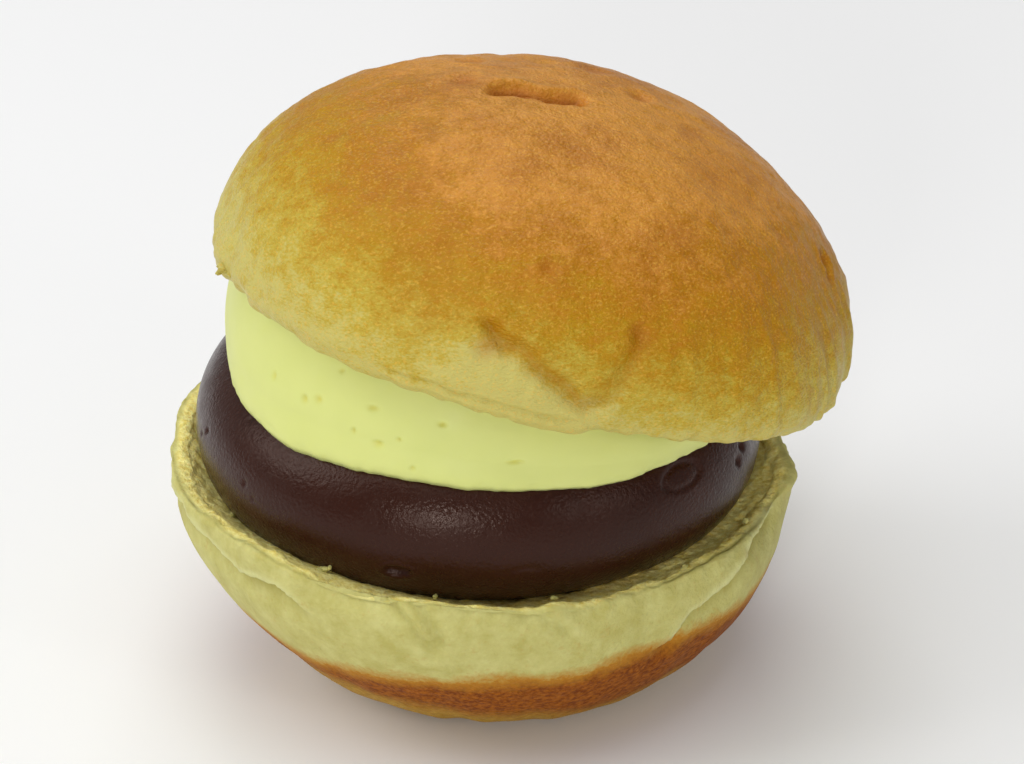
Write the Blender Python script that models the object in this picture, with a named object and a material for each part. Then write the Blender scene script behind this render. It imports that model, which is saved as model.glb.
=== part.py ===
"""Ice cream sandwich in a bun: a lower half, a chocolate disc, a custard wedge and a leaning upper half.

Sizes are in millimetres, turned to metres as the vertices are placed. +Z is up, the origin is the middle of
the flat spot that the lower half stands on, and the side with the most custard showing faces -Y and -X.
Every solid starts as a UV sphere whose rings are laid along a named outline.
"""

import math

import bmesh
import bpy
from mathutils import Matrix, Vector

MM = 0.001
GAP = 0.3  # left between solids that rest on each other
DRAPE_GAP = 0.5  # the same, where both are curved and faceted

# Lower half of the bun: a bowl of crust with a pressed hollow of crumb
BASE_RADIUS = 24.0
BOWL_RADIUS = 45.3
RIM_HEIGHT = 29.9
RIM_SHIFT = Vector((-3.5, 0.9))
RIM_TURN_IN = 1.2
RIM_TURN_START = 0.6  # share of the rim's height
RIM_THICKNESS = 2.6
RIM_CROWN = 0.5
RIM_FALL = 0.6  # from the rim's outer edge to its inner one
BOWL_ROUNDNESS = (1.48, 1.16)
RIM_WAVES = [(1, 3.5, 156), (3, 0.5, 40), (5, 0.45, 170), (8, 0.3, 20)]
BOWL_WAVES = [(2, 1.6, 127), (3, 0.35, 60), (5, 0.3, 200), (9, 0.2, 10)]
RIM_TAB = (-6, 6, 1.5)  # a torn tab on the rim: bearing and half width in degrees, reach
HOLLOW_RADIUS = 32.5
HOLLOW_DIP = 1.6  # above 1 sinks the sloping crumb between the rim and the floor of the hollow

# Chocolate disc
CHOCOLATE_CENTRE = Vector((-3.7, 0.0))
CHOCOLATE_RADIUS = 39.5
CHOCOLATE_BASE = 23.8
CHOCOLATE_THICKNESS = 22.0
CHOCOLATE_ROUNDING = 11.4
CHOCOLATE_BULGE = 0.83  # below 1 is fuller than a quarter circle
CHOCOLATE_SLOPE = Vector((-0.024, 0.019))
CHOCOLATE_WAVES = [(2, 0.25, 80), (3, 0.2, 10)]

# Custard, which drapes over the chocolate's shoulder and is squeezed to a wedge by the upper half
CUSTARD_CENTRE = Vector((-2.3, -0.7))
CUSTARD_RADIUS = 36.4
CUSTARD_FOOT_RADIUS = 35.5
CUSTARD_TOP_RADIUS = 33.0
CUSTARD_WIDEST = 0.3  # share of its height
CUSTARD_FOOT_SPREAD = 0.6  # below 1 packs the underside's rings towards its edge
CUSTARD_WAVES = [(3, 0.35, 300), (5, 0.25, 20)]

# Upper half of the bun, in a frame of its own that leans to the right
LID_CENTRE = Vector((3.8, 0.1, 54.8))
LID_LEAN = math.radians(12.9)
LID_RINGS = 30
LID_RADIUS = 44.0
LID_CUT_RADIUS = 42.0
LID_FLAT_RADIUS = 40.0
LID_HEIGHT = 28.5
LID_WIDEST = 2.6
LID_DROOP = 2.2  # how far the rim hangs at the left and right
LID_DROOP_HEIGHT = 14.0
LID_BULGE = (-28, 32, 1.7)  # fuller side low at the right: bearing and half width in degrees, reach
LID_ROUNDNESS = (0.905, 1.18)
LID_WAVES = [(2, 0.35, 60), (3, 0.3, 200), (5, 0.35, 75), (7, 0.2, 10)]
CROWN_CREASE = ((-10.0, -4.4), (-0.8, -3.4), 1.3, 0.9)  # two ends, half width, depth
DIMPLES = [(-15.7, 7.7, 2.2, 0.5), (2.3, 14.0, 2.4, 0.5), (9.9, 4.1, 2.0, 0.5), (37.5, -8.2, 2.0, 0.9)]
FOLD = [(-99, 11.0), (-80.5, 5.0), (-69, 11.5)]  # bearing and height of a V-shaped fold in the side
FOLD_WIDTH = 1.9
FOLD_DEPTH = 0.9

SHARP_ANGLE = math.radians(50)


def wave(bearing, terms):
    """Sum of cosines round the bun; each term is its lobes, size and phase in degrees."""
    return sum(size * math.cos(lobes * bearing - math.radians(phase)) for lobes, size, phase in terms)


def turn_between(bearing, degrees):
    """Degrees from a bearing to another, the short way round."""
    return (math.degrees(bearing) - degrees + 180) % 360 - 180


def share(value, low, high):
    """Where value lies from low to high, as 0 to 1."""
    return min(1.0, max(0.0, (value - low) / (high - low)))


def mix(start, end, amount):
    return start + (end - start) * amount


def spot(distance, width):
    return math.exp(-((distance / width) ** 2))


def distance_to_line(point, start, end):
    along = end - start
    amount = share((point - start).dot(along), 0.0, along.length_squared)
    return (point - start - along * amount).length


def around(centre, radius, bearing, height):
    return Vector((centre.x + radius * math.cos(bearing), centre.y + radius * math.sin(bearing), height))


def chocolate_plane(x, y, rise):
    """Height of the disc's underside at (x, y), raised by rise."""
    return CHOCOLATE_BASE + rise + CHOCOLATE_SLOPE.dot(Vector((x, y)) - CHOCOLATE_CENTRE)


def lid_plane(x, drop):
    """Height of the upper half's cut face at x, lowered by drop."""
    return LID_CENTRE.z - drop - (x - LID_CENTRE.x) * math.tan(LID_LEAN)


def bowl_point(bearing, step):
    """Lower half: flat spot, crust, rim, sloping crumb, then the floor of the hollow."""
    base_end, wall_end, lip_end, crumb_end = 0.10, 0.58, 0.68, 0.90
    if step <= base_end:
        return around(Vector((0, 0)), BASE_RADIUS * step / base_end, bearing, 0.0)
    rim_height = RIM_HEIGHT + wave(bearing, RIM_WAVES)
    tab = RIM_TAB[2] * spot(turn_between(bearing, RIM_TAB[0]), RIM_TAB[1])
    quarter = share(step, base_end, wall_end) * math.pi / 2
    rise = 1 - math.cos(quarter) ** BOWL_ROUNDNESS[1]
    widest = BOWL_RADIUS + wave(bearing, BOWL_WAVES)
    upper = share(rise, RIM_TURN_START, 1.0) ** 2
    radius = mix(BASE_RADIUS, widest, math.sin(quarter) ** BOWL_ROUNDNESS[0]) + (tab - RIM_TURN_IN) * upper
    outer = around(RIM_SHIFT * rise, radius, bearing, rim_height * rise)
    if step <= wall_end:
        return outer
    over = share(step, wall_end, lip_end) * math.pi
    lip = around(
        RIM_SHIFT,
        radius - RIM_THICKNESS / 2 * (1 - math.cos(over)),
        bearing,
        rim_height + RIM_CROWN * math.sin(over) - RIM_FALL * over / math.pi,
    )
    if step <= lip_end:
        return lip
    floor_edge = around(CHOCOLATE_CENTRE, HOLLOW_RADIUS, bearing, 0.0)
    floor_edge.z = chocolate_plane(floor_edge.x, floor_edge.y, -GAP)
    if step <= crumb_end:
        inwards = share(step, lip_end, crumb_end)
        point = mix(lip, floor_edge, inwards)
        point.z = mix(floor_edge.z, lip.z, (1 - inwards) ** HOLLOW_DIP)
        return point
    middle = Vector((*CHOCOLATE_CENTRE, CHOCOLATE_BASE - GAP))
    return mix(floor_edge, middle, share(step, crumb_end, 1.0))


def chocolate_point(bearing, step):
    """Disc with a full, rounded side between two flat faces."""
    face_end, side_end = 0.18, 0.82
    flat = CHOCOLATE_RADIUS - CHOCOLATE_ROUNDING
    side = (share(step, face_end, side_end) - 0.5) * math.pi
    bulge = (CHOCOLATE_ROUNDING + wave(bearing, CHOCOLATE_WAVES)) * math.cos(side) ** CHOCOLATE_BULGE
    inside = min(step / face_end, (1 - step) / (1 - side_end), 1.0)
    point = around(CHOCOLATE_CENTRE, flat * inside + bulge, bearing, 0.0)
    point.z = chocolate_plane(point.x, point.y, CHOCOLATE_THICKNESS * (1 + math.sin(side)) / 2)
    return point


def chocolate_skin(x, y):
    """Height of the disc's upper side at (x, y)."""
    out = Vector((x, y)) - CHOCOLATE_CENTRE
    flat = CHOCOLATE_RADIUS - CHOCOLATE_ROUNDING
    bulge = CHOCOLATE_ROUNDING + wave(math.atan2(out.y, out.x), CHOCOLATE_WAVES)
    over = share(out.length, flat, flat + bulge)
    side = math.acos(over ** (1 / CHOCOLATE_BULGE))
    return chocolate_plane(x, y, CHOCOLATE_THICKNESS * (1 + math.sin(side)) / 2)


def custard_point(bearing, step):
    """Underside along the chocolate, a bulging side, then a top that follows the leaning upper half."""
    foot_end, top_start = 0.35, 0.80
    swell = wave(bearing, CUSTARD_WAVES)
    up = share(step, foot_end, top_start)
    if step <= foot_end:
        radius = (CUSTARD_FOOT_RADIUS + swell) * (step / foot_end) ** CUSTARD_FOOT_SPREAD
    elif up < CUSTARD_WIDEST:
        bulge = math.sin(up / CUSTARD_WIDEST * math.pi / 2)
        radius = mix(CUSTARD_FOOT_RADIUS, CUSTARD_RADIUS, bulge) + swell
    elif step < top_start:
        bulge = math.cos((up - CUSTARD_WIDEST) / (1 - CUSTARD_WIDEST) * math.pi / 2)
        radius = mix(CUSTARD_TOP_RADIUS, CUSTARD_RADIUS, bulge) + swell
    else:
        radius = (CUSTARD_TOP_RADIUS + swell) * (1 - step) / (1 - top_start)
    foot = around(CUSTARD_CENTRE, min(radius, CUSTARD_FOOT_RADIUS + swell), bearing, 0.0)
    point = around(CUSTARD_CENTRE, radius, bearing, 0.0)
    point.z = mix(chocolate_skin(foot.x, foot.y) + DRAPE_GAP, lid_plane(point.x, GAP), up)
    return point


def lid_marks(point, bearing):
    """How far the crust sinks at its crown crease, dimples and fold."""
    flat = point.xy
    start, end, width, depth = CROWN_CREASE
    sink = depth * spot(distance_to_line(flat, Vector(start), Vector(end)), width)
    sink += sum(deep * spot((flat - Vector((x, y))).length, wide) for x, y, wide, deep in DIMPLES)
    to_arc = math.radians(LID_RADIUS)  # millimetres of side for each degree of bearing
    here = Vector((math.degrees(bearing) * to_arc, point.z))
    ends = [Vector((degrees * to_arc, height)) for degrees, height in FOLD]
    nearest = min(distance_to_line(here, a, b) for a, b in zip(ends, ends[1:]))
    return sink + FOLD_DEPTH * spot(nearest, FOLD_WIDTH)


def lid_point(bearing, step):
    """Upper half: cut face, hanging lip, turned-under side, then the dome, in its leaning frame."""
    cut_end, lip_end, turn_end = 4 / LID_RINGS, 5 / LID_RINGS, 8 / LID_RINGS
    centre = Vector((0, 0))
    swell = wave(bearing, LID_WAVES)
    droop = LID_DROOP * math.cos(bearing) ** 2
    bulge = LID_BULGE[2] * spot(turn_between(bearing, LID_BULGE[0]), LID_BULGE[1])
    if step <= cut_end:
        point = around(centre, LID_FLAT_RADIUS * step / cut_end, bearing, 0.0)
    elif step <= turn_end:
        turn = share(step, lip_end, turn_end) * math.pi / 2
        edge = mix(LID_CUT_RADIUS, LID_RADIUS + swell, math.sin(turn)) + bulge
        point = around(centre, edge, bearing, LID_WIDEST * (1 - math.cos(turn)))
        point.z -= droop * (1 - point.z / LID_DROOP_HEIGHT) ** 2
    else:
        climb = share(step, turn_end, 1.0) * math.pi / 2
        level = max(0.0, math.cos(climb)) ** LID_ROUNDNESS[0]
        height = mix(LID_WIDEST, LID_HEIGHT, math.sin(climb) ** LID_ROUNDNESS[1])
        low = share(LID_DROOP_HEIGHT - height, 0.0, LID_DROOP_HEIGHT - LID_WIDEST)
        point = around(centre, level * (LID_RADIUS + swell) + bulge * low, bearing, height)
        point -= point.normalized() * lid_marks(point, bearing)
        point.z -= droop * share(LID_DROOP_HEIGHT - point.z, 0.0, LID_DROOP_HEIGHT) ** 2
    return LID_CENTRE + Matrix.Rotation(LID_LEAN, 3, "Y") @ point


def make_material(name, colour, roughness):
    material = bpy.data.materials.new(name)
    material.use_nodes = True
    shader = material.node_tree.nodes["Principled BSDF"]
    shader.inputs["Base Color"].default_value = (*colour, 1.0)
    shader.inputs["Roughness"].default_value = roughness
    return material


def make_solid(name, place, segments, rings, material, collection):
    """A UV sphere whose rings are laid, from the bottom pole to the top one, where place says."""
    shape = bmesh.new()
    bmesh.ops.create_uvsphere(shape, u_segments=segments, v_segments=rings, radius=1.0)
    for vertex in shape.verts:
        down_from_top = vertex.co.normalized().angle(Vector((0, 0, 1)))
        step = round(rings * (1 - down_from_top / math.pi)) / rings
        vertex.co = place(math.atan2(vertex.co.y, vertex.co.x), step) * MM
    mesh = bpy.data.meshes.new(name)
    shape.to_mesh(mesh)
    shape.free()
    mesh.shade_smooth()
    mesh.set_sharp_from_angle(angle=SHARP_ANGLE)
    mesh.materials.append(material)
    collection.objects.link(bpy.data.objects.new(name, mesh))


def main():
    for old in list(bpy.data.objects):
        bpy.data.objects.remove(old)
    collection = bpy.data.collections.new("ice_cream_sandwich")
    bpy.context.scene.collection.children.link(collection)
    crust = make_material("golden_crust", (0.58, 0.30, 0.06), 0.5)
    pale_crust = make_material("pale_crust", (0.50, 0.42, 0.15), 0.7)
    chocolate = make_material("chocolate_ice_cream", (0.05, 0.02, 0.013), 0.4)
    custard = make_material("custard_ice_cream", (0.68, 0.72, 0.24), 0.55)
    make_solid("bottom_bun", bowl_point, 60, 26, pale_crust, collection)
    make_solid("chocolate_ice_cream", chocolate_point, 44, 16, chocolate, collection)
    make_solid("custard_ice_cream", custard_point, 44, 20, custard, collection)
    make_solid("top_bun", lid_point, 68, LID_RINGS, crust, collection)


main()
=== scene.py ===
"""Looks of the ice cream sandwich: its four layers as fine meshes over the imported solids, and loose crumbs.

Forms and marks are in millimetres, in the frame of the CAD. Each layer's smooth form is fitted to the box of
the node that it replaces, and then gets its relief. Bearings are degrees from +X, and -90 is the front.
"""

import math

import bmesh
import bpy
import numpy as np
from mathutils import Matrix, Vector


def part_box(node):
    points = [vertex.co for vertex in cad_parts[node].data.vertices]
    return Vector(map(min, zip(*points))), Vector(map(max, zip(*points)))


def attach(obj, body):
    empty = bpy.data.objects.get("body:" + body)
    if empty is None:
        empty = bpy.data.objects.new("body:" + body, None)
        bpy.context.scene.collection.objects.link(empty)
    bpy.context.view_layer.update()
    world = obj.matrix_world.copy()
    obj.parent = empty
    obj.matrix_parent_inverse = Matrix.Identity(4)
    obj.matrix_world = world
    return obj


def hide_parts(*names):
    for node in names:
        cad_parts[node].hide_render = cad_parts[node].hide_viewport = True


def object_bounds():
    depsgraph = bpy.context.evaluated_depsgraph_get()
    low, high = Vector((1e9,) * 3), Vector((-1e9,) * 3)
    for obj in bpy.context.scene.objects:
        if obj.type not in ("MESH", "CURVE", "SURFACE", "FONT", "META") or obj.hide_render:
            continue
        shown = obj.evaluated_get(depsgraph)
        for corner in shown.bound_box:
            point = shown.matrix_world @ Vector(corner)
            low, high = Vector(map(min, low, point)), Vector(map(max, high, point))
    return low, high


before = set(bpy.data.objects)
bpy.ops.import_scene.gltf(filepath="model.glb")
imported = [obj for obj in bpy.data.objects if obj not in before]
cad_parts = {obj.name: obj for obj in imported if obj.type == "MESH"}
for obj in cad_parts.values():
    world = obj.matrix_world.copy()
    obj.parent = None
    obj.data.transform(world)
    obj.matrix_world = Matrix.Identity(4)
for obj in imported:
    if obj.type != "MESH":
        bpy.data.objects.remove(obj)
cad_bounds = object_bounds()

MM = 0.001

# Lower half of the bun
BASE_RADIUS = 24.0
BOWL_RADIUS = 45.3
BOWL_ROUNDNESS = (1.48, 1.16)
BOWL_WAVES = [(2, 1.6, 127), (3, 0.35, 60), (5, 0.3, 200), (9, 0.2, 10)]
RIM_HEIGHT = 29.9
RIM_WAVES = [(1, 3.5, 156), (3, 0.5, 40), (5, 0.45, 170), (8, 0.3, 20)]
RIM_SHIFT = (-3.5, 0.9)
RIM_TURN_IN = 1.2
RIM_THICKNESS = 2.6
RIM_TAB = (-6, 6, 1.5)  # a torn tab: bearing, half width in degrees, reach
RIM_TURN_START = 0.6  # share of the wall's height from which it turns in
RIM_CROWN = 0.5
RIM_FALL = 0.6
HOLLOW_RADIUS = 32.5
CRUMB_DIP = 0.75  # power of the crumb's fall from rim to hollow: above 1 it is steep at first
CRUMB_FRONT_DIP = (-84, 24, 1.6)  # the same in front: bearing, half width in degrees, power

# Chocolate disc
CHOCOLATE_CENTRE = (-3.7, 0.0)
CHOCOLATE_RADIUS = 39.5
CHOCOLATE_BASE = 23.8
CHOCOLATE_THICKNESS = 22.0
CHOCOLATE_ROUNDING = 11.4
CHOCOLATE_BULGE = 0.83
CHOCOLATE_SLOPE = (-0.024, 0.019)
CHOCOLATE_WAVES = [(2, 0.25, 80), (3, 0.2, 10)]

# Custard wedge
CUSTARD_CENTRE = (-2.3, -0.7)
CUSTARD_RADIUS = 36.4
CUSTARD_FOOT_RADIUS = 35.5
CUSTARD_TOP_RADIUS = 33.0
CUSTARD_WIDEST = 0.3
CUSTARD_FOOT_SPREAD = 0.6
CUSTARD_WAVES = [(3, 0.35, 300), (5, 0.25, 20)]
DRAPE_GAP = 0.5
GAP = 0.3

# Upper half of the bun, in a frame of its own that leans to the right
LID_CENTRE = (3.8, 0.1, 54.8)
LID_LEAN = math.radians(12.9)
LID_RADIUS = 44.0
LID_CUT_RADIUS = 42.0
LID_FLAT_RADIUS = 40.0
LID_HEIGHT = 28.5
LID_WIDEST = 2.6
LID_DROOP = 2.2
LID_DROOP_HEIGHT = 14.0
LID_BULGE = (-28, 32, 1.7)
LID_ROUNDNESS = (0.905, 1.18)
LID_WAVES = [(2, 0.35, 60), (3, 0.3, 200), (5, 0.35, 75), (7, 0.2, 10)]

# Marks on the lower half: (bearing, height) corners of the lower edges of two torn skins, of a tuck and a
# crease, and a dent; then stretches of worn rim as bearing, half width in degrees and depth
LEFT_FLAP = [(-170, 31.0), (-151, 28.9), (-135, 26.8), (-126, 28.0), (-119, 25.0)]
RIGHT_FLAP = [(-60, 16.0), (-54, 17.5), (-50, 21.0), (-43, 22.4), (-39, 23.5), (-29, 25.6), (-14, 25.5)]
BOWL_TUCK = [(-103, 30.5), (-99.5, 27.3), (-98.4, 24.8)]
BOWL_CREASE = [(-79.5, 28.4), (-78, 26.2), (-74.8, 24.1)]
BOWL_DENT = (-97.6, 23.4)
WORN_RIM = [(-111, 8, 1.3), (-94, 13, 0.7)]

# Marks on the chocolate: bearing, height, half width and half height of a ring and a lens; bearing, height and
# radius of burst bubbles; and a scuff's corners, as length from its bearing and height
RING_MARK = (-44, 38.8, 3.5, 1.5)
LENS_MARK = (-105, 31.0, 2.0, 0.85)
CHOCOLATE_HOLES = [
    (-25, 35.9, 0.65), (-22, 37.3, 0.7), (-160, 39.0, 0.45), (-163, 37.6, 0.35), (-141, 37.1, 0.4),
    (-147, 44.0, 0.35), (-138, 35.6, 0.3), (35, 36.0, 0.6), (80, 40.5, 0.45), (128, 33.0, 0.5)]
SCUFF_BEARING = -81
SCUFF = [(-2.5, 31.2), (0.5, 31.9), (2.2, 31.5)]

# Air holes in the custard: bearing, height, half width, half height
CUSTARD_HOLES = [
    (-139, 52.9, 0.35, 0.6), (-130, 51.5, 0.5, 0.65), (-126.5, 52.0, 0.65, 0.6), (-114, 52.4, 0.9, 0.4),
    (-122, 56.3, 0.4, 0.35), (-112.5, 47.7, 0.8, 0.45), (-105, 45.3, 0.35, 0.3), (-99, 51.2, 0.6, 0.35),
    (-118, 48.9, 0.3, 0.5), (-108, 48.7, 0.35, 0.35), (-84, 46.3, 1.2, 0.3), (150, 54.0, 0.6, 0.5),
    (112, 50.0, 0.7, 0.5), (60, 47.0, 0.5, 0.4)]

# Marks on the upper half: (x, y) corners of the crown's crease; place, width and depth of dimples; (bearing,
# height) corners of the V-shaped fold and of the ridge above it; bearing, half width and depth of pleats
CROWN_CREASE = [(-10.8, -2.6), (-8.2, -1.7), (-4.7, -2.7), (-0.6, -1.5)]
LID_DIMPLES = [(-14.7, 10.8, 26.1, 1.6, 0.55), (-15.4, -0.3, 26.9, 1.9, 0.35), (8.7, 6.0, 27.7, 1.5, 0.6),
               (2.4, 12.6, 27.0, 1.8, 0.4), (37.0, -6.0, 14.8, 1.3, 0.9), (37.9, -7.4, 13.2, 1.0, 0.6),
               (-2.2, -34.4, 17.6, 1.1, 0.4), (-7.9, -41.0, 8.4, 1.6, 0.35), (10.3, -37.6, 13.0, 1.0, 0.3),
               (-20.0, 24.0, 21.5, 1.8, 0.4), (14.0, 33.0, 17.0, 1.5, 0.4)]
LID_FOLD = [(-101, 10.6), (-96, 9.2), (-91, 7.0), (-85, 4.9), (-82, 4.2), (-79, 5.4), (-76, 8.7), (-73, 11.7)]
LID_RIDGE = [(-101, 12.0), (-97, 10.9), (-92, 9.1)]
LID_PLEATS = [(-22, 38, 0.30), (-155, 24, 0.22), (80, 60, 0.12)]

# Loose bits: place, half lengths, turn in degrees
BUN_FLAKES = [((-24.0, -33.7, 28.7), (0.7, 0.4, 0.45), 20), ((-23.4, -33.9, 29.05), (0.5, 0.3, 0.25), 25),
              ((-22.9, -34.15, 29.4), (0.4, 0.22, 0.3), 60), ((6.5, -37.4, 26.6), (0.5, 0.4, 0.3), 15),
              ((-9.0, -37.8, 27.1), (0.4, 0.3, 0.3), 80), ((24.0, -29.5, 26.8), (0.55, 0.45, 0.35), 50),
              ((33.0, -17.0, 27.0), (0.5, 0.4, 0.35), 110), ((-36.8, -19.0, 29.0), (0.5, 0.4, 0.3), 30)]
LID_FLAKES = [((-36.9, -14.4, 63.8), (1.1, 0.7, 0.7), 20), ((-37.7, -14.2, 63.0), (0.7, 0.4, 0.35), 70),
              ((-36.2, -15.2, 63.2), (0.8, 0.5, 0.4), 120)]

# Fineness of the meshes: segments round, rings
BUN_GRID = (560, 174)
CHOCOLATE_GRID = (760, 110)
CUSTARD_GRID = (760, 96)
FLAKE_GRID = (20, 14)

# Stage: lamps as name, bearing, height angle, distance and width in metres, power
LAMPS = [("top_softbox", -120, 80, 1.6, 1.3, 9.0), ("back_softbox", 95, 52, 0.9, 0.50, 1.6),
         ("front_softbox", -100, 16, 0.8, 0.10, 1.6), ("right_softbox", -42, 16, 0.8, 0.10, 0.42),
         ("left_softbox", -175, 36, 0.9, 0.50, 2.6)]
WORLD_STRENGTH = 0.34
FLOOR_HALF_WIDTH = 4.0
CAMERA_TARGET = (1.05, 0.0, 39.86)
CAMERA_DISTANCE = 430.4
CAMERA_HEIGHT_ANGLE = 26.0
CAMERA_LENS = 108.15

# Repeatable noise: throws for a lattice's cells, found by mixing a cell's three numbers and a seed
DICE = np.random.default_rng(11).uniform(-1, 1, 8192)
CELL_MIX = (73856093, 19349663, 83492791)
SEED_MIX = 2654435
SHIFT_MIX = 13

# The Mix node's colour sockets
MIX_FIRST = 6
MIX_SECOND = 7
MIX_RESULT = 2


# ---------------------------------------------------------------- shape helpers


def wave(bearing, terms):
    return sum(size * np.cos(lobes * bearing - math.radians(phase)) for lobes, size, phase in terms)


def turn_between(bearing, degrees):
    """Degrees from a bearing in degrees to another in radians, the short way round."""
    return (np.degrees(bearing) - degrees + 180) % 360 - 180


def share(value, low, high):
    return np.clip((value - low) / (high - low), 0.0, 1.0)


def ease(value, low=0.0, high=1.0):
    amount = share(value, low, high)
    return amount * amount * (3 - 2 * amount)


def mix(start, end, amount):
    return start + (end - start) * amount


def spot(distance, width):
    return np.exp(-((distance / width) ** 2))


def around(centre, radius, bearing, height):
    x = centre[0] + radius * np.cos(bearing)
    y = centre[1] + radius * np.sin(bearing)
    return np.stack([x, y, height + 0 * x], axis=-1)


def arc_from(bearing, degrees, radius):
    """Length round this radius from a bearing in degrees."""
    return turn_between(bearing, degrees) * math.radians(radius)


def unrolled(path, radius):
    """Corners of (bearing, height) with each bearing as a length round this radius."""
    return [(degrees * math.radians(radius), height) for degrees, height in path]


def from_mark(bearing, points, mark, radius):
    """Distance from a mark's middle, 1 at its edge; a mark is its bearing, height and half lengths."""
    degrees, height, wide, tall = mark
    return np.hypot(arc_from(bearing, degrees, radius) / wide, (points[..., 2] - height) / tall)


def distance_to_path(across, up, path):
    """Distance from points to the nearest stretch of a path of (across, up) corners."""
    nearest = np.full(np.shape(across), np.inf)
    for (x0, y0), (x1, y1) in zip(path, path[1:]):
        dx, dy = x1 - x0, y1 - y0
        along = np.clip(((across - x0) * dx + (up - y0) * dy) / (dx * dx + dy * dy), 0, 1)
        nearest = np.minimum(nearest, np.hypot(across - x0 - along * dx, up - y0 - along * dy))
    return nearest


def dice(cell, seed):
    """The same throw, from -1 to 1, for each lattice cell and seed."""
    mixed = seed * SEED_MIX
    for axis, factor in enumerate(CELL_MIX):
        mixed = mixed ^ (cell[..., axis] * factor)
    return DICE[(mixed ^ (mixed >> SHIFT_MIX)) % len(DICE)]


def noise(points, size, seed=0):
    """Smooth noise from -1 to 1 with lumps of about this size, a number or one for each axis."""
    at = points / np.asarray(size, float)
    cell = np.floor(at).astype(np.int64)
    part = at - cell
    part = part * part * (3 - 2 * part)
    total = np.zeros(points.shape[:-1])
    for corner in np.ndindex(2, 2, 2):
        weight = np.prod(np.where(corner, part, 1 - part), axis=-1)
        total += weight * dice(cell + corner, seed)
    return total


def rough(points, *layers):
    """Noise summed from layers of (height, lump size, seed)."""
    return sum(height * noise(points, size, seed) for height, size, seed in layers)


def pits(points, spacing, radius, seed=0):
    """Scattered round pits, from 0 at their edge to 1 at their middle, one for each lattice cell."""
    at = points / spacing
    cell = np.floor(at).astype(np.int64)
    deepest = np.zeros(points.shape[:-1])
    for corner in np.ndindex(3, 3, 3):
        near = cell + corner - 1
        middle = near + 0.5 + 0.45 * np.stack([dice(near, seed + k) for k in (1, 2, 3)], axis=-1)
        size = radius / spacing * (0.75 + 0.35 * dice(near, seed + 4))
        gap = ((at - middle) ** 2).sum(axis=-1) / size**2
        deepest = np.maximum(deepest, 1 - gap)
    return deepest


# ---------------------------------------------------------------- forms


def chocolate_plane(x, y, rise):
    slope = CHOCOLATE_SLOPE[0] * (x - CHOCOLATE_CENTRE[0]) + CHOCOLATE_SLOPE[1] * (y - CHOCOLATE_CENTRE[1])
    return CHOCOLATE_BASE + rise + slope


def chocolate_skin(x, y):
    """Height of the chocolate's upper side at (x, y)."""
    out_x, out_y = x - CHOCOLATE_CENTRE[0], y - CHOCOLATE_CENTRE[1]
    bulge = CHOCOLATE_ROUNDING + wave(np.arctan2(out_y, out_x), CHOCOLATE_WAVES)
    over = share(np.hypot(out_x, out_y) - CHOCOLATE_RADIUS + CHOCOLATE_ROUNDING, 0.0, bulge)
    side = np.arccos(over ** (1 / CHOCOLATE_BULGE))
    return chocolate_plane(x, y, CHOCOLATE_THICKNESS * (1 + np.sin(side)) / 2)


def lid_plane(x, drop):
    return LID_CENTRE[2] - drop - (x - LID_CENTRE[0]) * math.tan(LID_LEAN)


def bowl_form(bearing, step):
    """Flat spot, crust, rim, sloping crumb, then the floor of the hollow."""
    base_end, wall_end, lip_end, crumb_end = 0.04, 0.56, 0.74, 0.96
    rim_height = RIM_HEIGHT + wave(bearing, RIM_WAVES)
    tab = RIM_TAB[2] * spot(turn_between(bearing, RIM_TAB[0]), RIM_TAB[1])
    quarter = share(step, base_end, wall_end) * math.pi / 2
    rise = 1 - np.cos(quarter) ** BOWL_ROUNDNESS[1]
    widest = BOWL_RADIUS + wave(bearing, BOWL_WAVES)
    radius = mix(BASE_RADIUS, widest, np.sin(quarter) ** BOWL_ROUNDNESS[0])
    radius = radius + (tab - RIM_TURN_IN) * share(rise, RIM_TURN_START, 1.0) ** 2
    base = around((0, 0), BASE_RADIUS * share(step, 0, base_end), bearing, 0.0)
    wall = around((RIM_SHIFT[0] * rise, RIM_SHIFT[1] * rise), radius, bearing, rim_height * rise)
    over = share(step, wall_end, lip_end) * math.pi
    lip_height = rim_height + RIM_CROWN * np.sin(over) - RIM_FALL * over / math.pi
    lip = around(RIM_SHIFT, radius - RIM_THICKNESS / 2 * (1 - np.cos(over)), bearing, lip_height)
    edge = around(CHOCOLATE_CENTRE, HOLLOW_RADIUS, bearing, 0.0)
    edge[..., 2] = chocolate_plane(edge[..., 0], edge[..., 1], -GAP)
    inwards = share(step, lip_end, crumb_end)[..., None]
    crumb = mix(lip, edge, inwards)
    front, front_width, front_dip = CRUMB_FRONT_DIP
    dip = mix(CRUMB_DIP, front_dip, spot(turn_between(bearing, front), front_width))[..., None]
    crumb[..., 2] = mix(edge, lip, (1 - inwards) ** dip)[..., 2]
    middle = np.array([*CHOCOLATE_CENTRE, CHOCOLATE_BASE - GAP])
    floor = mix(edge, middle, share(step, crumb_end, 1.0)[..., None])
    where = step[..., None]
    parts = [where <= base_end, where <= wall_end, where <= lip_end, where <= crumb_end]
    return np.select(parts, [base, wall, lip, crumb], floor)


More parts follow.
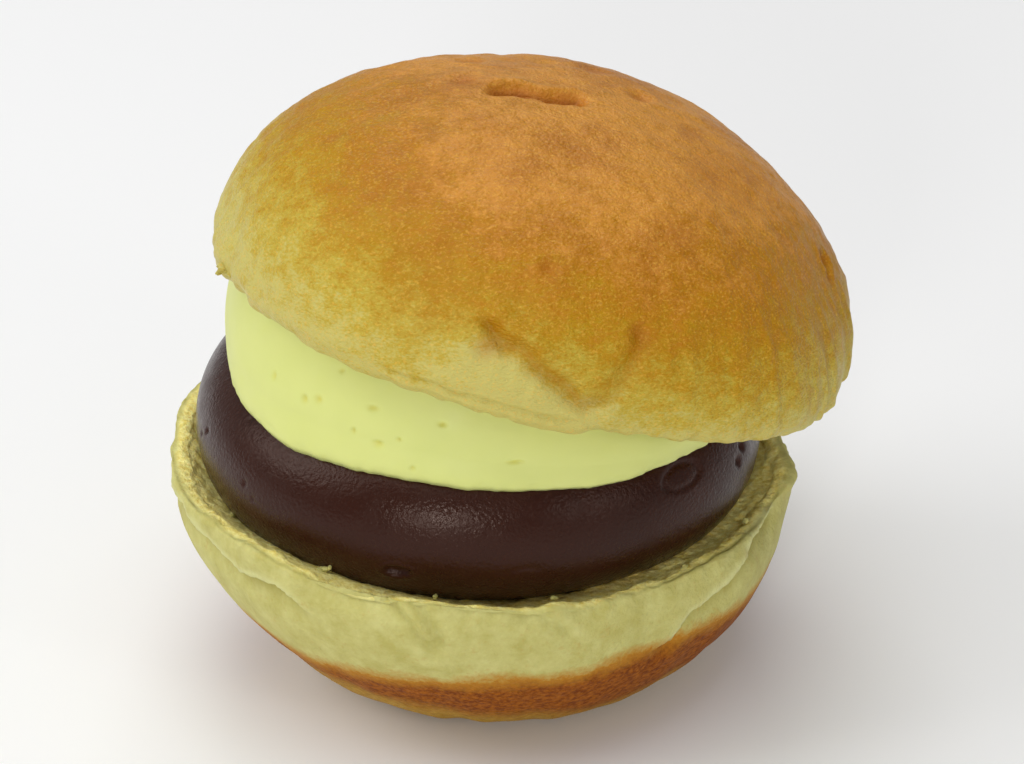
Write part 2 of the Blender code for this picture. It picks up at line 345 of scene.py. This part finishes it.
def chocolate_form(bearing, step):
    face_end, side_end = 0.06, 0.94
    side = (share(step, face_end, side_end) - 0.5) * math.pi
    bulge = (CHOCOLATE_ROUNDING + wave(bearing, CHOCOLATE_WAVES)) * np.abs(np.cos(side)) ** CHOCOLATE_BULGE
    inside = np.minimum(share(step, 0, face_end), share(1 - step, 0, 1 - side_end))
    points = around(CHOCOLATE_CENTRE, (CHOCOLATE_RADIUS - CHOCOLATE_ROUNDING) * inside + bulge, bearing, 0.0)
    rise = CHOCOLATE_THICKNESS * (1 + np.sin(side)) / 2
    points[..., 2] = chocolate_plane(points[..., 0], points[..., 1], rise)
    return points


def custard_form(bearing, step):
    """Underside along the chocolate, a bulging side, then a top that follows the upper half."""
    foot_end, top_start = 0.14, 0.92
    swell = wave(bearing, CUSTARD_WAVES)
    up = share(step, foot_end, top_start)
    under = (CUSTARD_FOOT_RADIUS + swell) * share(step, 0, foot_end) ** CUSTARD_FOOT_SPREAD
    below = np.sin(share(up, 0, CUSTARD_WIDEST) * math.pi / 2)
    above = np.cos(share(up, CUSTARD_WIDEST, 1) * math.pi / 2)
    low_side = mix(CUSTARD_FOOT_RADIUS, CUSTARD_RADIUS, below) + swell
    high_side = mix(CUSTARD_TOP_RADIUS, CUSTARD_RADIUS, above) + swell
    top = (CUSTARD_TOP_RADIUS + swell) * share(1 - step, 0, 1 - top_start)
    parts = [step <= foot_end, up < CUSTARD_WIDEST, step < top_start]
    radius = np.select(parts, [under, low_side, high_side], top)
    foot = around(CUSTARD_CENTRE, np.minimum(radius, CUSTARD_FOOT_RADIUS + swell), bearing, 0.0)
    points = around(CUSTARD_CENTRE, radius, bearing, 0.0)
    low = chocolate_skin(foot[..., 0], foot[..., 1]) + DRAPE_GAP
    points[..., 2] = mix(low, lid_plane(points[..., 0], GAP), up)
    return points


def lid_form(bearing, step):
    """Cut face, hanging lip, turned-under side, then the dome, before it leans."""
    cut_end, lip_end, turn_end = 0.05, 0.09, 0.22
    swell = wave(bearing, LID_WAVES)
    droop = LID_DROOP * np.cos(bearing) ** 2
    bulge = LID_BULGE[2] * spot(turn_between(bearing, LID_BULGE[0]), LID_BULGE[1])
    face = around((0, 0), LID_FLAT_RADIUS * share(step, 0, cut_end), bearing, 0.0)
    lip_out = share(step, cut_end, lip_end)
    turn = share(step, lip_end, turn_end) * math.pi / 2
    low_height = LID_WIDEST * (1 - np.cos(turn))
    edge = mix(LID_CUT_RADIUS, LID_RADIUS + swell, np.sin(turn)) + bulge
    side = around((0, 0), mix(LID_FLAT_RADIUS, edge, lip_out), bearing, 0.0)
    side[..., 2] = low_height - lip_out * droop * (1 - low_height / LID_DROOP_HEIGHT) ** 2
    climb = share(step, turn_end, 1.0) * math.pi / 2
    level = np.abs(np.cos(climb)) ** LID_ROUNDNESS[0]
    height = mix(LID_WIDEST, LID_HEIGHT, np.sin(climb) ** LID_ROUNDNESS[1])
    low = share(LID_DROOP_HEIGHT - height, 0.0, LID_DROOP_HEIGHT - LID_WIDEST)
    dome = around((0, 0), level * (LID_RADIUS + swell) + bulge * low, bearing, 0.0)
    dome[..., 2] = height - droop * share(LID_DROOP_HEIGHT - height, 0.0, LID_DROOP_HEIGHT) ** 2
    where = step[..., None]
    return np.select([where <= cut_end, where <= turn_end], [face, side], dome)


def lean(points):
    """From the upper half's own frame to the world's."""
    x, y, z = np.moveaxis(points, -1, 0)
    across = x * math.cos(LID_LEAN) + z * math.sin(LID_LEAN)
    up = z * math.cos(LID_LEAN) - x * math.sin(LID_LEAN)
    return np.stack([across, y, up], axis=-1) + LID_CENTRE


# ---------------------------------------------------------------- relief, in millimetres outwards


def bowl_flaps(bearing, points):
    """For each torn skin: where along the rim it is, and a point's height above its lower edge."""
    degrees = np.degrees(bearing)
    ragged = rough(points, (0.5, 2.6, 4), (0.25, 1.1, 11))
    found = []
    for path in (LEFT_FLAP, RIGHT_FLAP):
        turns, heights = zip(*path)
        band = ease(degrees, turns[0], turns[0] + 7) * (1 - ease(degrees, turns[-1] - 5, turns[-1] + 1))
        found.append((band, points[..., 2] - np.interp(degrees, turns, heights) + ragged))
    return found


def flap(above):
    """A torn skin that ends at a line: proud above it, undercut below, and level again further down."""
    return 0.3 * ease(above, -0.2, 0.4) - 1.1 * ease(above, -5.0, -0.8) * (1 - ease(above, -0.4, 0.3))


def bowl_folds(bearing, points):
    """A tuck with a hollow beside it, a crease and a dent, on the front of the wall."""
    arc = np.degrees(bearing) * math.radians(BOWL_RADIUS)
    height = points[..., 2]
    tuck = distance_to_path(arc, height, unrolled(BOWL_TUCK, BOWL_RADIUS))
    crease = distance_to_path(arc, height, unrolled(BOWL_CREASE, BOWL_RADIUS))
    dent = from_mark(bearing, points, (*BOWL_DENT, 1, 1), BOWL_RADIUS)
    sunk = 0.6 * spot(tuck - 1.3, 0.7) + 0.55 * spot(crease, 0.7) + 0.8 * spot(dent, 1.8)
    return 0.6 * spot(tuck, 0.9) - sunk


def bowl_relief(bearing, step, points):
    """Soft wrinkles, two torn flaps, a ragged and worn rim, and a porous crumb."""
    height = points[..., 2]
    drawn = np.stack([bearing * BOWL_RADIUS, height * 0.5 + bearing * 6, 0 * height], axis=-1)
    crust = ease(step, 0.06, 0.14) * (1 - ease(step, 0.56, 0.62))
    wrinkles = rough(points, (0.34, 13, 1), (0.07, 2.6, 3)) + rough(drawn, (0.2, 5, 2))
    flaps = sum(band * flap(above) for band, above in bowl_flaps(bearing, points))
    roll = rough(points, (0.35, 8, 10)) * ease(step, 0.42, 0.52) * (1 - ease(step, 0.62, 0.74))
    rim = ease(step, 0.50, 0.56) * (1 - ease(step, 0.72, 0.80))
    ragged = rough(points, (0.42, 3.4, 5), (0.26, 1.5, 6), (0.12, 0.7, 7))
    worn = sum(depth * spot(turn_between(bearing, middle), width) for middle, width, depth in WORN_RIM)
    crumb = ease(step, 0.68, 0.76)
    holes = 0.24 * pits(points, 2.1, 1.2, 20) + 0.17 * pits(points, 1.05, 0.6, 30)
    lumps = rough(points, (0.24, 3.4, 8), (0.12, 1.1, 9))
    pressed = 1.2 * ease(step, 0.78, 0.90)
    tab = 0.8 * spot(turn_between(bearing, RIM_TAB[0]), RIM_TAB[1]) * spot(height - 26.8, 1.3)
    skin = crust * (wrinkles + flaps + bowl_folds(bearing, points)) + roll + rim * (ragged - worn)
    return skin + crumb * (lumps - holes + pressed) + tab * (1 - crumb)


def chocolate_relief(bearing, step, points):
    """Gentle waves, a ring and a lens-shaped mark, a scuff and a few burst bubbles."""
    relief = rough(points, (0.16, 17, 41), (0.06, 6, 42), (0.012, 1.6, 43))
    ring = from_mark(bearing, points, RING_MARK, CHOCOLATE_RADIUS)
    relief -= 0.3 * spot(ring - 1, 0.16) + 0.14 * (1 - ease(ring, 0.7, 1.0))
    lens = from_mark(bearing, points, LENS_MARK, CHOCOLATE_RADIUS)
    relief -= 0.75 * (1 - ease(lens, 0.5, 1.1)) - 0.18 * spot(lens - 1.25, 0.2)
    for degrees, height, radius in CHOCOLATE_HOLES:
        away = from_mark(bearing, points, (degrees, height, radius, radius), CHOCOLATE_RADIUS)
        relief -= 0.9 * radius * spot(away, 1)
    scuff = distance_to_path(arc_from(bearing, SCUFF_BEARING, CHOCOLATE_RADIUS), points[..., 2], SCUFF)
    return relief - 0.1 * spot(scuff, 0.3)


def custard_relief(bearing, step, points):
    """Soft waves, a slightly wavering foot and small air holes."""
    foot = ease(step, 0.05, 0.14) * (1 - ease(step, 0.16, 0.36))
    sag = 1.5 * spot(turn_between(bearing, -112), 50)
    waver = sag + rough(points, (0.3, 5.5, 53), (0.16, 2.4, 54))
    crisp = ease(step, 0.12, 0.15) * (1 - ease(step, 0.17, 0.22))
    waves = rough(points, (0.2, 15, 51), (0.07, 5, 52))
    return waves + foot * waver + crisp * rough(points, (0.12, 0.9, 55)) - custard_holes(bearing, points)


def custard_holes(bearing, points):
    """How deep a point lies in the air holes, in millimetres."""
    return sum(0.42 * spot(from_mark(bearing, points, hole, CUSTARD_RADIUS), 0.8) for hole in CUSTARD_HOLES)


def lid_crease(points):
    """How deep a point lies in the crown's crease, from 0 to 1."""
    return spot(distance_to_path(points[..., 0], points[..., 1], CROWN_CREASE), 1.4)


def lid_fold(bearing, points):
    """How deep a point lies in the V-shaped fold, from 0 to 1; its right arm is fainter."""
    degrees = np.degrees(bearing)
    along = degrees * math.radians(LID_RADIUS) + rough(points, (0.9, 3.0, 71))
    up = points[..., 2] + rough(points, (0.7, 3.0, 72))
    nearest = distance_to_path(along, up, unrolled(LID_FOLD, LID_RADIUS))
    return spot(nearest, 1.2) * (1 - 0.4 * ease(degrees, -84, -78))


def lid_crown(points):
    """The crown's crease, with a ridge behind it."""
    wobble = [rough(points, (0.5, 2.0, seed)) for seed in (65, 66)]
    wavy = points + np.stack([*wobble, 0 * points[..., 2]], axis=-1)
    ridge = distance_to_path(points[..., 0], points[..., 1] - 2.2, CROWN_CREASE)
    return ease(points[..., 2], 20, 25) * (0.5 * spot(ridge, 1.3) - 2.0 * lid_crease(wavy))


def lid_dimples(points):
    """Dimples, each with a faint raised ring."""
    relief = 0
    for *place, wide, deep in LID_DIMPLES:
        away = np.linalg.norm(points - place, axis=-1)
        relief = relief + 0.3 * deep * spot(away - 1.7 * wide, 0.6 * wide) - deep * spot(away, wide)
    return relief


def lid_front(bearing, points):
    """The V-shaped fold, with a ridge above it."""
    arc = np.degrees(bearing) * math.radians(LID_RADIUS)
    front = 1 - ease(np.abs(turn_between(bearing, -90)), 40, 60)
    ridge = distance_to_path(arc, points[..., 2], unrolled(LID_RIDGE, LID_RADIUS))
    return front * (0.7 * spot(ridge, 1.1) - 1.5 * lid_fold(bearing, points))


def lid_pleats(bearing, step, points):
    """Upright wrinkles low on the side, deeper at the right, the left and the back."""
    height = points[..., 2]
    drawn = np.stack([np.degrees(bearing) * math.radians(LID_RADIUS), height * 0.16, 0 * height], axis=-1)
    depth = 0.06
    for middle, width, deeper in LID_PLEATS:
        depth = depth + deeper * spot(turn_between(bearing, middle), width)
    low = (1 - ease(height, 9, 18)) * ease(step, 0.10, 0.18)
    return low * depth * (1 - np.abs(noise(drawn, 3.4, 67)) * 2)


def lid_edge(bearing, step, points):
    """The torn edge, with a swelling at the left and a pressed seam in front."""
    height = points[..., 2]
    tear = ease(step, 0.05, 0.08) * (1 - ease(step, 0.15, 0.22))
    torn = tear * rough(points, (0.4, 2.8, 68), (0.25, 1.2, 69))
    swelling = 1.1 * spot(turn_between(bearing, -164), 9) * (1 - ease(height, 0.5, 5))
    seam = (1 - ease(np.abs(turn_between(bearing, -100)), 14, 20)) * ease(step, 0.09, 0.12)
    seam_height = 1.7 + rough(points, (0.35, 2.2, 70))
    pressed = 0.3 * (1 - ease(height, 0.9, 1.5)) - 0.35 * spot(height - seam_height, 0.35)
    return torn + swelling + seam * pressed


def lid_relief(bearing, step, points):
    """Faint lumps, a crown crease, dimples, a V-shaped fold, side wrinkles and a torn edge."""
    relief = rough(points, (0.42, 14, 61), (0.24, 6, 62), (0.13, 2.4, 63), (0.07, 1.1, 64))
    relief += lid_crown(points) + lid_dimples(points) + lid_front(bearing, points)
    relief += lid_pleats(bearing, step, points) + lid_edge(bearing, step, points)
    return relief * ease(step, 0.03, 0.06)


# ---------------------------------------------------------------- colour fields, from 0 to 1


def bowl_fields(bearing, step, points):
    """Baked band, tan underside, crumb, its stain by the filling, and the torn skins' shade and pale edge."""
    height = points[..., 2]
    faint_left = spot(turn_between(bearing, -145), 26)
    band_top = 15.8 - 2.6 * faint_left + rough(points, (0.9, 9, 81), (0.4, 2, 82))
    band_foot = 5.5 + 5.0 * spot(turn_between(bearing, -128), 34) + rough(points, (1.0, 6, 83))
    shade = edge = 0
    for band, above in bowl_flaps(bearing, points):
        shade = shade + band * ease(above, -3.5, -0.7) * (1 - ease(above, -0.4, 0.2))
        edge = edge + band * spot(above - 0.6, 0.7)
    return {
        "band": 1 - share(height - band_top, -2.4, 3.0),
        "under": 1 - ease(height - band_foot, -2.5, 2.5),
        "crumb": ease(step + rough(points, (0.012, 1.6, 84)), 0.60, 0.66),
        "stain": ease(step, 0.80, 0.88) * (0.3 + 0.7 * spot(turn_between(bearing, -10), 70)),
        "shade": shade,
        "edge": edge,
    }


def chocolate_fields(bearing, step, points):
    """Where the surface is paler with bloom."""
    return {"bloom": share(0.5 + 0.5 * noise(points, 9, 91), 0, 1)}


def custard_fields(bearing, step, points):
    """The air holes, where the colour gets painted shade."""
    return {"hole": np.clip(2.2 * custard_holes(bearing, points), 0, 1)}


def lid_fields(bearing, step, points):
    """How toasted the crust is, with the left side painted paler as painted light; painted shade in its
    creases, fold and dimples; and the crumb of the torn edge.
    """
    height = points[..., 2]
    degrees = np.degrees(bearing)
    uneven = rough(points, (2.2, 11, 101), (1.2, 4.5, 102))
    # The left side is painted paler: painted light falling from the left, on top of the toast by height.
    painted_light_left = 5.5 * spot(turn_between(bearing, -165), 48)
    turns, heights = zip(*LID_FOLD)
    under_fold = 1 - ease(height - np.interp(degrees, turns, heights), -2.0, 0.5)
    pale_front = 0.3 * ease(degrees, -112, -100) * (1 - ease(degrees, -84, -76)) * under_fold
    # The crease field is painted shade in the crown's crease, the V-shaped fold and the dimples.
    dimple_shade = sum(spot(np.linalg.norm(points - place, axis=-1), wide) for *place, wide, deep in LID_DIMPLES)
    return {
        "toast": share(height + uneven - painted_light_left + 1.0, 0, 25) - pale_front,
        "crease": ease(height, 20, 25) * lid_crease(points) + 0.3 * lid_fold(bearing, points) + 0.5 * dimple_shade,
        "crumb": 1 - ease(height + rough(points, (0.5, 1.8, 103)), -2.6, -0.6),
    }


# ---------------------------------------------------------------- meshes


def box_of(points):
    flat = points.reshape(-1, 3)
    return flat.min(axis=0), flat.max(axis=0)


def ball_grid(segments, rings):
    """Bearing and step of each vertex of a UV sphere, from its lower pole up, and its faces."""
    turn, level = np.meshgrid(np.arange(segments), np.arange(1, rings))
    bearing = np.concatenate([[0], (turn.ravel() / segments * 2 - 1) * math.pi, [0]])
    step = np.concatenate([[0], level.ravel() / rings, [1]])
    here = 1 + (level[:-1] - 1) * segments + turn[:-1]
    beside = here + np.where(turn[:-1] == segments - 1, 1 - segments, 1)
    walls = np.stack([here, beside, beside + segments, here + segments], axis=-1).reshape(-1, 4)
    first = np.arange(segments)
    last = first + 1 + (rings - 2) * segments
    bottom = np.stack([0 * first, 1 + np.roll(first, -1), 1 + first], axis=-1)
    top = np.stack([last, np.roll(last, -1), 0 * last + len(step) - 1], axis=-1)
    return bearing, step, walls.tolist() + bottom.tolist() + top.tolist()


def stay(points):
    """The place of a layer whose own frame is the world's."""
    return points


def make_layer(name, node, form, relief, fields, material, grid, place=stay):
    """A UV sphere laid along form, fitted to its CAD node's box, and then given relief and colour fields."""
    bearing, step, faces = ball_grid(*grid)
    smooth = form(bearing, step)
    mesh = bpy.data.meshes.new(name)
    mesh.from_pydata(smooth, [], faces)
    normals = np.empty(smooth.size)
    mesh.vertex_normals.foreach_get("vector", normals)
    carved = smooth + normals.reshape(-1, 3) * relief(bearing, step, smooth)[:, None]
    low, high = box_of(place(smooth))
    node_low, node_high = (np.array(corner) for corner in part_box(node))
    placed = node_low + (place(carved) - low) / (high - low) * (node_high - node_low)
    mesh.vertices.foreach_set("co", placed.ravel())
    for field, values in fields(bearing, step, smooth).items():
        mesh.attributes.new(field, "FLOAT", "POINT").data.foreach_set("value", values)
    mesh.shade_smooth()
    mesh.materials.append(material)
    layer = bpy.data.objects.new(name, mesh)
    bpy.context.scene.collection.objects.link(layer)
    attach(layer, "root")
    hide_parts(node)
    return layer


# ---------------------------------------------------------------- materials


def linear(*levels):
    """An sRGB colour of 0 to 255 as the shader's linear one."""
    channels = [level / 255 for level in levels]
    return tuple(((c + 0.055) / 1.055) ** 2.4 if c > 0.04045 else c / 12.92 for c in channels) + (1.0,)


class Finish:
    """A Principled material and short ways to add the nodes that feed it."""

    def __init__(self, name, **sockets):
        self.material = bpy.data.materials.new(name)
        self.material.use_nodes = True
        self.nodes = self.material.node_tree.nodes
        self.links = self.material.node_tree.links
        self.shader = self.nodes["Principled BSDF"]
        for socket, value in sockets.items():
            self.shader.inputs[socket.replace("_", " ")].default_value = value
        self.place = self.nodes.new("ShaderNodeTexCoord").outputs["Object"]

    def field(self, name):
        node = self.nodes.new("ShaderNodeAttribute")
        node.attribute_name = name
        return node.outputs["Fac"]

    def noise(self, size_mm, detail=3.0, roughness=0.55, stretch=1.0):
        """Noise of this size; stretch draws it out sideways against its height."""
        squash = self.nodes.new("ShaderNodeMapping")
        squash.inputs["Scale"].default_value = (1.0, 1.0, stretch)
        self.links.new(self.place, squash.inputs["Vector"])
        node = self.nodes.new("ShaderNodeTexNoise")
        node.inputs["Scale"].default_value = 1 / (size_mm * MM)
        node.inputs["Detail"].default_value = detail
        node.inputs["Roughness"].default_value = roughness
        self.links.new(squash.outputs["Vector"], node.inputs["Vector"])
        return node.outputs["Fac"]

    def ramp(self, factor, stops):
        """Colours or greys along a factor; stops is [(position, colour), ...]."""
        node = self.nodes.new("ShaderNodeValToRGB")
        ramp = node.color_ramp
        for position, colour in stops[1:-1]:
            ramp.elements.new(position)
        for element, (position, colour) in zip(ramp.elements, stops):
            element.position = position
            element.color = colour if isinstance(colour, tuple) else (colour, colour, colour, 1.0)
        self.links.new(factor, node.inputs["Fac"])
        return node.outputs["Color"]

    def feed(self, sockets, values):
        """Set each socket to its value, or link it to another node's output."""
        for socket, value in zip(sockets, values):
            if isinstance(value, (int, float, tuple)):
                socket.default_value = value
            else:
                self.links.new(value, socket)

    def maths(self, operation, first, second):
        node = self.nodes.new("ShaderNodeMath")
        node.operation = operation
        self.feed(node.inputs, (first, second))
        return node.outputs["Value"]

    def uneven(self, noise, amount):
        """Noise as a change around nought."""
        return self.maths("MULTIPLY", self.maths("SUBTRACT", noise, 0.5), amount)

    def blend(self, factor, first, second):
        """The first colour at a factor of 0 and the second at 1."""
        node = self.nodes.new("ShaderNodeMix")
        node.data_type = "RGBA"
        sockets = (node.inputs["Factor"], node.inputs[MIX_FIRST], node.inputs[MIX_SECOND])
        self.feed(sockets, (factor, first, second))
        return node.outputs[MIX_RESULT]

    def colour(self, output):
        self.links.new(output, self.shader.inputs["Base Color"])

    def roughness(self, output):
        self.links.new(output, self.shader.inputs["Roughness"])

    def bump(self, height, depth_mm, strength=1.0):
        node = self.nodes.new("ShaderNodeBump")
        node.inputs["Strength"].default_value = strength
        node.inputs["Distance"].default_value = depth_mm * MM
        self.links.new(height, node.inputs["Height"])
        self.links.new(node.outputs["Normal"], self.shader.inputs["Normal"])


def crust_finish():
    """Golden brown at the crown under a painted sheen, paler down the side and painted paler at the left, with
    painted glints and painted shade in creases and dimples, crumb yellow at the torn edge.
    """
    finish = Finish("golden_crust", Specular_IOR_Level=0.2, Subsurface_Weight=0.05, Subsurface_Scale=1.5 * MM)
    finish.shader.inputs["Subsurface Radius"].default_value = (1.0, 0.5, 0.15)
    speck = finish.noise(0.5, 2.0, stretch=2.0)
    mottle = finish.noise(2.6, 4.0, 0.65, stretch=1.5)
    toast = finish.maths("ADD", finish.field("toast"), finish.uneven(mottle, 0.8))
    toast = finish.maths("ADD", toast, finish.uneven(speck, 0.5))
    # The ramp's top end, at the crown, is lighter and pinker: painted sheen over the golden brown.
    golden = finish.ramp(toast, [
        (0.0, linear(196, 184, 100)), (0.2, linear(188, 164, 56)), (0.45, linear(178, 134, 8)),
        (0.75, linear(180, 119, 6)), (1.0, linear(206, 140, 52))])
    blotch = finish.ramp(finish.noise(11.0, 4.0, 0.65), [(0.44, 0.0), (0.66, 0.55)])
    golden = finish.blend(finish.maths("MULTIPLY", blotch, finish.field("toast")), golden, linear(156, 88, 2))
    # Pale flecks: painted glints of sheen on the crust.
    painted_glints = finish.ramp(finish.noise(0.42, 1.0, stretch=1.3), [(0.53, 0.0), (0.74, 0.38)])
    golden = finish.blend(painted_glints, golden, linear(230, 178, 70))
    # The crease field darkens the colour: painted shade in the crease, the fold and the dimples.
    golden = finish.blend(finish.maths("MULTIPLY", finish.field("crease"), 0.85), golden, linear(160, 78, 2))
    finish.colour(finish.blend(finish.field("crumb"), golden, linear(196, 182, 98)))
    finish.roughness(finish.ramp(finish.noise(2.0, 3.0), [(0.3, 0.32), (0.7, 0.48)]))
    finish.bump(finish.maths("ADD", finish.maths("MULTIPLY", speck, 0.7), finish.noise(1.3, 2.0)), 0.4, 0.8)
    return finish.material


def bottom_finish():
    """Pale yellow side, a brown baked band, tan underside and a darker, moist crumb by the filling."""
    finish = Finish("pale_crust", Specular_IOR_Level=0.12, Subsurface_Weight=0.1, Subsurface_Scale=2.0 * MM)
    finish.shader.inputs["Subsurface Radius"].default_value = (1.0, 0.6, 0.25)
    speck = finish.noise(0.6, 2.0)
    mottle = finish.noise(3.0, 5.0, 0.65)
    pale = finish.ramp(mottle, [(0.32, linear(182, 174, 98)), (0.68, linear(202, 197, 127))])
    pale = finish.blend(finish.maths("MULTIPLY", finish.field("shade"), 0.6), pale, linear(158, 146, 66))
    pale = finish.blend(finish.maths("MULTIPLY", finish.field("edge"), 0.6), pale, linear(220, 220, 158))
    band = finish.maths("ADD", finish.field("band"), finish.uneven(speck, 0.35))
    band = finish.maths("ADD", band, finish.uneven(finish.noise(2.5, 3.0), 0.35))
    brown = finish.ramp(finish.noise(0.7, 3.0), [(0.35, linear(112, 52, 4)), (0.7, linear(166, 96, 20))])
    side = finish.blend(finish.ramp(band, [(0.05, 0.0), (0.45, 1.0)]), pale, linear(180, 124, 36))
    side = finish.blend(finish.ramp(band, [(0.4, 0.0), (0.9, 1.0)]), side, brown)
    tan = finish.ramp(finish.noise(0.9, 3.0), [(0.3, linear(158, 120, 34)), (0.7, linear(198, 162, 66))])
    side = finish.blend(finish.maths("MULTIPLY", finish.field("under"), 0.8), side, tan)
    crumb = finish.ramp(finish.noise(0.9, 4.0, 0.65), [
        (0.34, linear(230, 208, 104)), (0.62, linear(254, 244, 160))])
    crumb = finish.blend(finish.maths("MULTIPLY", finish.field("stain"), 0.6), crumb, linear(226, 164, 48))
    finish.colour(finish.blend(finish.field("crumb"), side, crumb))
    finish.roughness(finish.ramp(mottle, [(0.3, 0.55), (0.7, 0.72)]))
    porous = finish.maths("MULTIPLY", finish.noise(0.8, 4.0, 0.7), finish.field("crumb"))
    skin = finish.maths("ADD", speck, finish.noise(1.6, 3.0))
    finish.bump(finish.maths("ADD", skin, finish.maths("MULTIPLY", porous, 2.2)), 0.22, 0.8)
    return finish.material


def chocolate_finish():
    """Dark, dense and satin, with an uneven gloss."""
    finish = Finish("chocolate_ice_cream", Specular_IOR_Level=0.24, Specular_Tint=(1.0, 0.8, 0.7, 1.0))
    tone = finish.blend(finish.noise(7.0, 3.0), linear(38, 14, 7), linear(48, 19, 11))
    bloom = finish.maths("MULTIPLY", finish.field("bloom"), 0.3)
    finish.colour(finish.blend(bloom, tone, linear(64, 32, 22)))
    finish.roughness(finish.ramp(finish.noise(3.0, 4.0), [(0.3, 0.18), (0.7, 0.34)]))
    finish.bump(finish.noise(0.5, 3.0), 0.14, 0.8)
    return finish.material


def custard_finish():
    """Pale yellow, moist and soft, with painted shade in the air holes."""
    finish = Finish("custard_ice_cream", Specular_IOR_Level=0.4, Subsurface_Weight=0.2,
                    Subsurface_Scale=2.5 * MM)
    finish.shader.inputs["Subsurface Radius"].default_value = (1.0, 0.9, 0.4)
    tone = finish.blend(finish.noise(9.0, 3.0), linear(208, 214, 126), linear(218, 222, 136))
    # The air holes are painted darker and yellower: painted shade in the holes.
    hole = finish.maths("MULTIPLY", finish.field("hole"), 0.7)
    finish.colour(finish.blend(hole, tone, linear(212, 204, 84)))
    finish.roughness(finish.ramp(finish.noise(6.0, 3.0), [(0.3, 0.45), (0.7, 0.6)]))
    finish.bump(finish.noise(1.0, 2.0), 0.03, 0.4)
    return finish.material


# ---------------------------------------------------------------- stage


def make_floor():
    mesh = bpy.data.meshes.new("floor")
    form = bmesh.new()
    bmesh.ops.create_grid(form, x_segments=1, y_segments=1, size=FLOOR_HALF_WIDTH)
    form.to_mesh(mesh)
    form.free()
    mesh.materials.append(Finish("floor_white", Base_Color=(0.9, 0.9, 0.9, 1.0), Roughness=0.9).material)
    floor = bpy.data.objects.new("floor", mesh)
    floor.location.z = -0.1 * MM
    bpy.context.scene.collection.objects.link(floor)


def make_light(name, bearing, height_angle, distance, size, power, target):
    """A white square lamp that looks at the target from a bearing and a height angle, in degrees."""
    lamp = bpy.data.lights.new(name, "AREA")
    lamp.size = size
    lamp.energy = power
    light = bpy.data.objects.new(name, lamp)
    across, up = math.radians(bearing), math.radians(height_angle)
    out = Vector((math.cos(across) * math.cos(up), math.sin(across) * math.cos(up), math.sin(up)))
    light.location = target + out * distance
    light.rotation_euler = out.to_track_quat("Z", "Y").to_euler()
    bpy.context.scene.collection.objects.link(light)


def make_camera(target, distance, height_angle, lens):
    camera = bpy.data.objects.new("camera", bpy.data.cameras.new("camera"))
    up = math.radians(height_angle)
    out = Vector((0.0, -math.cos(up), math.sin(up)))
    camera.location = target + out * distance
    camera.rotation_euler = out.to_track_quat("Z", "Y").to_euler()
    camera.data.lens = lens
    camera.data.clip_start = 0.01
    bpy.context.scene.collection.objects.link(camera)
    bpy.context.scene.camera = camera


def make_stage():
    scene = bpy.context.scene
    scene.view_settings.view_transform = "Standard"
    middle = (cad_bounds[0] + cad_bounds[1]) / 2
    make_floor()
    world = bpy.data.worlds.new("studio")
    world.use_nodes = True
    world.node_tree.nodes["Background"].inputs["Color"].default_value = (1.0, 1.0, 1.0, 1.0)
    world.node_tree.nodes["Background"].inputs["Strength"].default_value = WORLD_STRENGTH
    scene.world = world
    for lamp in LAMPS:
        make_light(*lamp, middle)
    make_camera(Vector(CAMERA_TARGET) * MM, CAMERA_DISTANCE * MM, CAMERA_HEIGHT_ANGLE, CAMERA_LENS)


def make_flakes(name, node, material, flakes):
    """Small lumpy bits, each (place, half lengths, turn in degrees), joined as one piece."""
    bearing, step, faces = ball_grid(*FLAKE_GRID)
    slope = (step - 0.5) * math.pi
    ball = around((0, 0), np.cos(slope), bearing, np.sin(slope))
    points, all_faces = [], []
    for count, (place, halves, turn) in enumerate(flakes):
        lumps = 1 + rough(ball + count * 3, (0.35, 0.7, 120), (0.2, 0.3, 121))
        x, y, z = (ball * lumps[:, None] * halves).T
        cosine = math.cos(math.radians(turn))
        sine = math.sin(math.radians(turn))
        points.append(np.stack([x * cosine - y * sine, x * sine + y * cosine, z], axis=-1) + place)
        all_faces += [[corner + count * len(ball) for corner in face] for face in faces]
    mesh = bpy.data.meshes.new(name)
    mesh.from_pydata(np.concatenate(points) * MM, [], all_faces)
    mesh.shade_smooth()
    mesh.materials.append(material)
    piece = bpy.data.objects.new(name, mesh)
    bpy.context.scene.collection.objects.link(piece)
    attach(piece, "root")
    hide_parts(node)


def main():
    crust = crust_finish()
    bottom = bottom_finish()
    make_layer("lower_bun", "bottom_bun", bowl_form, bowl_relief, bowl_fields, bottom, BUN_GRID)
    make_layer("chocolate_layer", "chocolate_ice_cream", chocolate_form, chocolate_relief,
               chocolate_fields, chocolate_finish(), CHOCOLATE_GRID)
    make_layer("custard_layer", "custard_ice_cream", custard_form, custard_relief,
               custard_fields, custard_finish(), CUSTARD_GRID)
    make_layer("upper_bun", "top_bun", lid_form, lid_relief, lid_fields, crust, BUN_GRID, lean)
    make_flakes("crumbs", "bottom_bun", bottom, BUN_FLAKES)
    make_flakes("torn_flakes", "top_bun", crust, LID_FLAKES)
    make_stage()


main()
